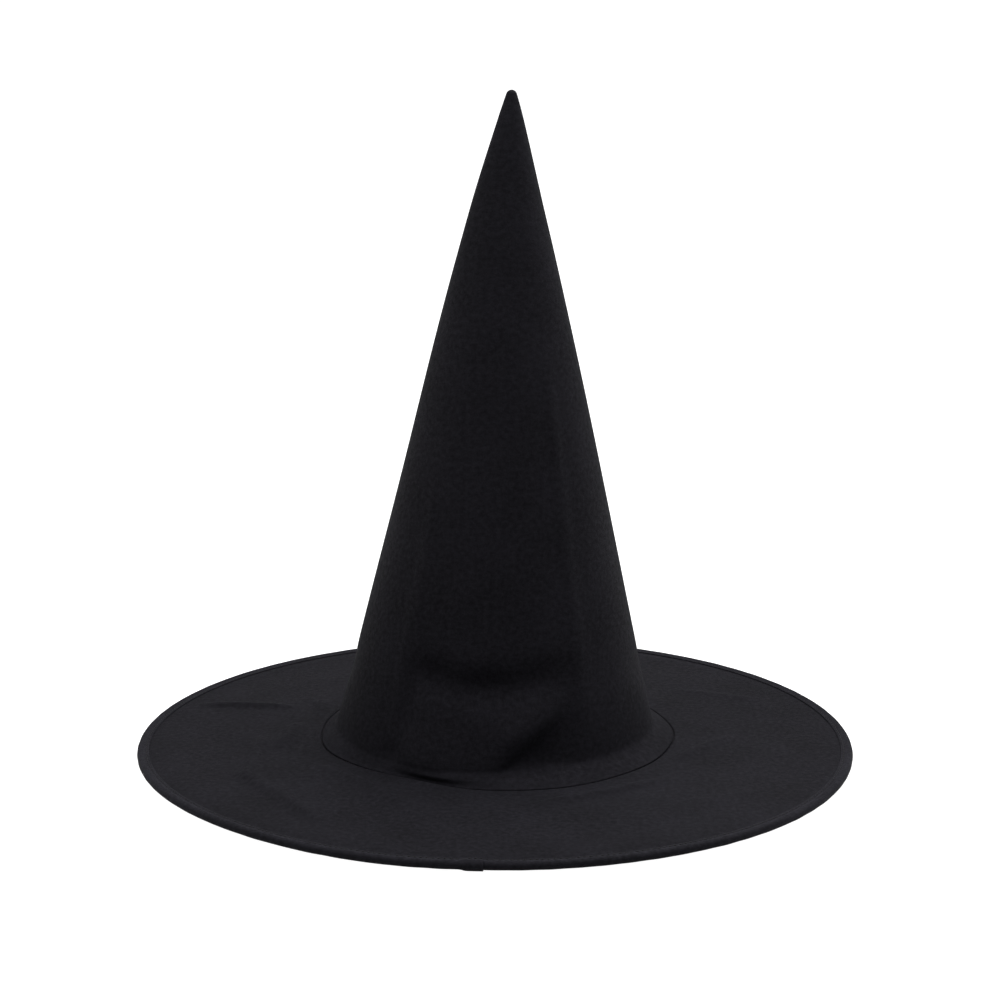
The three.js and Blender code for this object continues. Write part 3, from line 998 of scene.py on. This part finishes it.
def binding_profile():
    """Radius and height of the binding's outer face: upper lip and pinch, roll, lower pinch and lip."""
    top = [(183.7, 4.02), (184.1, 4.16), (184.7, 4.14), (185.1, 4.0), (185.5, 4.05), (186.0, 4.16)]
    low = [(186.0, 0.44), (185.5, 0.58), (185.1, 0.66), (184.7, 0.52), (184.1, 0.47), (183.7, 0.58)]
    roll = np.radians(np.linspace(122, -122, 19))
    arc = np.stack([roll_middle + roll_radius * np.cos(roll), roll_radius + roll_radius * np.sin(roll)], -1)
    return np.concatenate([top, arc, low]).T


profile_r, profile_z = binding_profile()
profile_way = np.concatenate([[0], np.cumsum(np.hypot(np.diff(profile_r), np.diff(profile_z)))])
print("the binding is", round(profile_way[-1], 1), "mm wide before it is folded")


# %% Fold the binding
def binding_face(angle, depth):
    """Points of the strip's face at a depth. Its last few millimetres ride up over its beginning."""
    along = np.radians(angle - angle[0]) * rim_radius
    lift = (cloth + lap_gap) * ease(along, along[-1] - lap_length - 3, along[-1] - lap_length + 1)
    deep_r, deep_z = inset(profile_r, profile_z, depth)
    far_r, far_z = inset(profile_r, profile_z, depth - 1.0)
    out_r, out_z = far_r - deep_r, far_z - deep_z
    pucker = pucker_depth * np.cos(np.radians(angle * rim_stitches_round))
    drift = drift_depth * waves(angle, 0, 41, 10, (20, 90), 50)
    near_stitch = bump(profile_r - stitch_line, 1.6)[None, :]
    on_roll = ease(profile_r, 185.6, 187.5)[None, :]
    move = lift[:, None] + (pucker[:, None] + 0.05) * near_stitch + drift[:, None] * on_roll
    return on_brim(deep_r + out_r * move, angle[:, None], deep_z + out_z * move)


binding_turns = np.arange(0, 2 * np.pi * rim_radius + lap_length, stitch_pitch / 3)
binding_angles = lap_angle + np.degrees(binding_turns / rim_radius)
binding_uv = MM * np.stack(np.meshgrid(binding_turns, profile_way, indexing="ij"), -1)
binding_faces = [binding_face(binding_angles, depth) for depth in (0, cloth)]
binding = sheet_object("rim_binding_folded", *binding_faces, binding_uv)
place_piece(binding, "hat", ["rim_binding"], binding_cloth_painted_highlight)
print("binding strip", round(binding_turns[-1]), "mm long")

# %% [markdown]
# ## Sweatband
# A ribbon is sewn round the mouth of the crown and stands up against the felt. It starts and ends at the
# back, a little to one side of the label, with one end over the other. A plain hoop would cut through the
# crown's dents, so the ribbon reads the same folds as the wall behind it.

# %% Sweatband profile
band_thick = 0.6
band_lap = 10.0
band_start = BACK + 20.0
band_gap = 0.395  # air between the felt and the band
band_lap_gap = 0.05  # and between the band's two ends
mouth_radius, mouth_height = 87.0, 7.0
band_knee = 18.0  # where the band turns out to the mouth


def band_profile():
    """Radius and height of the band's outer face, from its free top edge down to the stitched mouth."""
    above, below = np.linspace(band_high, band_knee, 11), np.linspace(16.2, mouth_height, 6)
    z = np.concatenate([above, below, [6.0, band_low]])
    wall = crown_radius(z) - felt_depth - felt - band_gap
    knee = crown_radius(band_knee) - felt_depth - felt - band_gap
    flare = knee + (mouth_radius - knee) * np.clip((band_knee - z) / (band_knee - mouth_height), 0, 1)
    return np.where(z >= band_knee, wall, flare), z


band_r, band_z = band_profile()
print("the band's radius is", round(band_r[0], 1), "mm at the top and", round(band_r[-1], 1), "at the foot")


# %% Sweatband
def band_face(angle, depth):
    """Points of the band's face at a depth, its last millimetres lifted inwards over its beginning."""
    along = np.radians(angle - angle[0]) * foot_radius
    lift = (band_thick + band_lap_gap) * ease(along, along[-1] - band_lap - 3, along[-1] - band_lap + 1)
    loose = 0.12 * waves(angle, 0, 51, 8, (6, 24), 40)
    a, height = angle[None, :], band_z[:, None]
    loose = loose[None, :] * ease(height, 24, band_high)
    inner = band_r[:, None] - depth - lift[None, :] - np.abs(loose)
    return on_crown(inner + crown_folds(a, height), a, height)


band_angles = columns(1.2, fine=[(-93, 41, 0.9)])
band_end = band_angles[-1] + np.degrees(np.linspace(1, band_lap, 9) / foot_radius)
band_angles = np.concatenate([band_angles, band_end]) + (band_start - BACK)
band_uv = MM * np.stack(np.meshgrid(np.radians(band_angles) * foot_radius, band_z), -1)
band_faces = [band_face(band_angles, depth) for depth in (0, band_thick)]
sweatband = sheet_object("sweatband_grosgrain", *band_faces, band_uv)
place_piece(sweatband, "hat", ["sweatband"], sweatband_ribbon)

# %% [markdown]
# ## Stitches
# Lockstitch shows as a row of short threads, each going down into the cloth at both ends. A dashed line in
# the material would be cheaper, but it casts no shade and flattens at the rim. So one stitch is a small tube
# of a few dozen faces, and a whole row is one array of them. The rim has a row above and a row below, the
# seam ring has one in its groove, and the sweatband has one at its mouth.

# %% Stitch helpers
thread_radius = 0.24 * MM
stitch_length, mouth_stitch_length = 2.3 * MM, 2.2 * MM
seam_stitches_round, mouth_stitches_round = 196, 178


def stitches(name, middle, along, up, length, thick):
    """A row of threads. At the share t of its length a thread is thick * sqrt(sin(pi t)) in radius. Its
    middle line is arched by 0.5 thick * sin(pi t), and starts 0.3 thick under the cloth."""
    rings = sides = 7
    t = np.linspace(0, 1, rings)
    b = np.linspace(0, 2 * np.pi, sides)
    side = np.cross(along, up)
    girth = np.sqrt(np.abs(np.sin(np.pi * t)))[:, None]
    across = (girth * np.cos(b)[None, :])[None, ..., None] * thick
    over = girth * np.sin(b)[None, :] + 0.5 * np.sin(np.pi * t)[:, None] - 0.3
    way = ((t - 0.5) * length)[None, :, None, None]
    spot = [v[:, None, None, :] for v in (middle, along, side, up)]
    points = spot[0] + spot[1] * way + spot[2] * across + spot[3] * over[None, ..., None] * thick
    count = len(middle)
    first = rings * sides * np.arange(count)[:, None, None]
    faces = (cells(rings, sides)[None] + first).reshape(-1, 4)
    way_uv, round_uv = np.meshgrid(t * length, b / (2 * np.pi) * MM, indexing="ij")
    uv = np.broadcast_to(np.stack([way_uv, round_uv], -1), (count, rings, sides, 2))
    return make_object(name, points, faces, uv)


def frame_of(path, lift):
    """Middle, direction and outward direction of stitches on a closed path, from the path and one just
    above it."""
    ahead = np.roll(path, -1, axis=0) - np.roll(path, 1, axis=0)
    along = ahead / np.linalg.norm(ahead, axis=1, keepdims=True)
    up = lift - path
    up = up - along * (up * along).sum(1, keepdims=True)
    return path, along, up / np.linalg.norm(up, axis=1, keepdims=True)


def spaced(count):
    """Angles of count stitches once round, evenly spaced, the first half a step on."""
    return 360 * (np.arange(count) + 0.5) / count


print("stitches in each row:", rim_stitches_round, seam_stitches_round, mouth_stitches_round)

# %% Rim stitches
upper_pinch, lower_pinch = 4.12, 0.56  # heights of the thread where the binding is pinched
rim_turn = spaced(rim_stitches_round)
in_lap = np.radians((rim_turn - lap_angle) % 360) * rim_radius < lap_length
rows = []
for height, outward in ((upper_pinch, 1.0), (lower_pinch, -1.0)):
    rise = height + outward * (cloth + lap_gap) * in_lap
    path = on_brim(stitch_line, rim_turn, rise)
    rows.append(frame_of(path, on_brim(stitch_line, rim_turn, rise + outward)))
rim_rows = [np.concatenate(parts) for parts in zip(*rows)]
rim_stitching = stitches("rim_stitches", *rim_rows, stitch_length, thread_radius)
place_piece(rim_stitching, "hat", ["rim_seam_thread"], sewing_thread)

# %% Seam stitches
groove_radius, groove_height = seam_radius + 0.55, 7.55
seam_path = on_brim(groove_radius, spaced(seam_stitches_round), groove_height)
seam_frame = frame_of(seam_path, seam_path + np.array([0, 0, MM]))
seam_stitching = stitches("base_seam_stitches", *seam_frame, stitch_length, thread_radius)
place_piece(seam_stitching, "hat", ["base_seam_thread"], sewing_thread)

# %% Sweatband stitches
mouth_stitch_height = 6.0
mouth_turn = spaced(mouth_stitches_round)
mouth_lap = band_thick * (np.radians((mouth_turn - band_start) % 360) * foot_radius < band_lap)
mouth_path = on_crown(mouth_radius - band_thick - mouth_lap, mouth_turn, mouth_stitch_height)
inwards = on_crown(mouth_radius - band_thick - 1 - mouth_lap, mouth_turn, mouth_stitch_height)
mouth_frame = frame_of(mouth_path, inwards)
mouth_stitching = stitches("sweatband_stitches", *mouth_frame, mouth_stitch_length, thread_radius)
place_piece(mouth_stitching, "hat", ["sweatband_thread"], sewing_thread)

# %% [markdown]
# ## Care label
# A blank satin label hangs inside at the back, whipped to the band along its top edge only, so that it can
# be flipped up. It curls inwards a little at its free end, as satin does. A simulation would be heavy work
# for a curl of one millimetre, so the curl is a formula.

# %% Label
label_thick = label_high[1] - label_low[1]
label_across = np.linspace(label_low[0], label_high[0], 25)
label_down = np.linspace(label_high[2], label_low[2], 31)


def label_face(depth):
    """Points of the label: its flat place less a curl of 1.1 v^2 + 0.35 v sin(pi u) - 0.25 v cos(2 pi u),
    for u across and v down."""
    x, z = np.meshgrid(label_across, label_down)
    u = (x - label_low[0]) / (label_high[0] - label_low[0])
    v = (label_high[2] - z) / (label_high[2] - label_low[2])
    curl = 1.1 * v**2 + 0.35 * np.sin(np.pi * u) * v - 0.25 * v * np.cos(2 * np.pi * u)
    return MM * np.stack([x, label_high[1] - depth - curl, z], -1)


label_uv = MM * np.stack(np.meshgrid(label_across, label_down), -1)
label = sheet_object("care_label_satin", label_face(0), label_face(label_thick), label_uv)
place_piece(label, "label", ["care_label"], label_satin)

# %% Label stitches
whip_count = 8
whip_length, whip_radius = 2.4 * MM, 0.2 * MM
whip_margin, whip_out, whip_above = 1.2, 0.35, 0.25  # from the label's sides, face and top edge
whip_x = np.linspace(label_low[0] + whip_margin, label_high[0] - whip_margin, whip_count)
whip_y = np.full(whip_count, label_high[1] + whip_out)
whip_z = np.full(whip_count, label_high[2] + whip_above)
whip_middle = MM * np.stack([whip_x, whip_y, whip_z], -1)
whip_along = np.broadcast_to(np.array([0.25, 0.85, 0.46]), whip_middle.shape)  # over the edge, aslant
whip_along = whip_along / np.linalg.norm(whip_along, axis=1, keepdims=True)
whip_up = np.cross(np.broadcast_to(np.array([1.0, 0, 0]), whip_along.shape), whip_along)
whip_up = whip_up / np.linalg.norm(whip_up, axis=1, keepdims=True)
label_stitching = stitches("label_stitches", whip_middle, whip_along, whip_up, whip_length, whip_radius)
place_piece(label_stitching, "hat", (), label_thread)

# %% [markdown]
# ## How the pieces move
# The tip flops over between the two felts, and the label turns stiffly about its sewn edge. Here the crown's
# four layers only have their placing baked into their points, and no bend is made.

# %% Bake the crown's layers
for piece in (crown, lower_felt, tip_felt, tape):
    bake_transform(piece)

# %% [markdown]
# ## Flat sizes
# Each sheet was cut flat. The crown is a sector whose radius is the slant of the cone, the brim is a ring
# cut from a square, and the strips are rectangles. These could be measured on the meshes, but worked out
# from the pattern they are the sizes that a cutter would mark.

# %% Pattern pieces
turned_foot = 13.0  # of the crown's slope, turned edge and allowance, added to its slant
slant_angle = np.arctan(foot_radius / (apex - foot_height))
half_sector = np.pi * np.sin(slant_angle)


def sector_cut(outer, inner=0.0):
    """Width, length and area, in metres, of a flat sector between two distances from its point."""
    wide = 2 * outer * np.sin(half_sector)
    tall = outer - inner * np.cos(half_sector)
    return (wide * MM, tall * MM), half_sector * (outer**2 - inner**2) * MM**2


def slant(z):
    """Distance down the cone from its point."""
    return (apex - z) / np.cos(slant_angle)


def ring_cut(inner):
    """Side and area, in metres, of a ring cut from a square."""
    side = 2 * brim_edge * MM
    return (side, side), np.pi * (brim_edge**2 - inner**2) * MM**2


print("the crown's sector spans", round(float(np.degrees(2 * half_sector)), 1), "degrees")


def declare(piece, cut):
    """Prints a sheet's name and its cut, which is (width and length, area)."""
    print(piece.name, [round(v / MM) for v in cut[0]], "mm, area", round(cut[1] * 1e4), "square cm")


declare(crown, sector_cut(slant(flange_top) + turned_foot))
declare(lower_felt, sector_cut(slant(felt_low), slant(bend_low)))
declare(tip_felt, sector_cut(slant(bend_high), slant(tip_felt_high)))
declare(brim_top, ring_cut(brim_inner))
declare(brim_felt, ring_cut(felt_inner))
declare(brim_under, ring_cut(brim_inner))

# %% [markdown]
# ## Finish
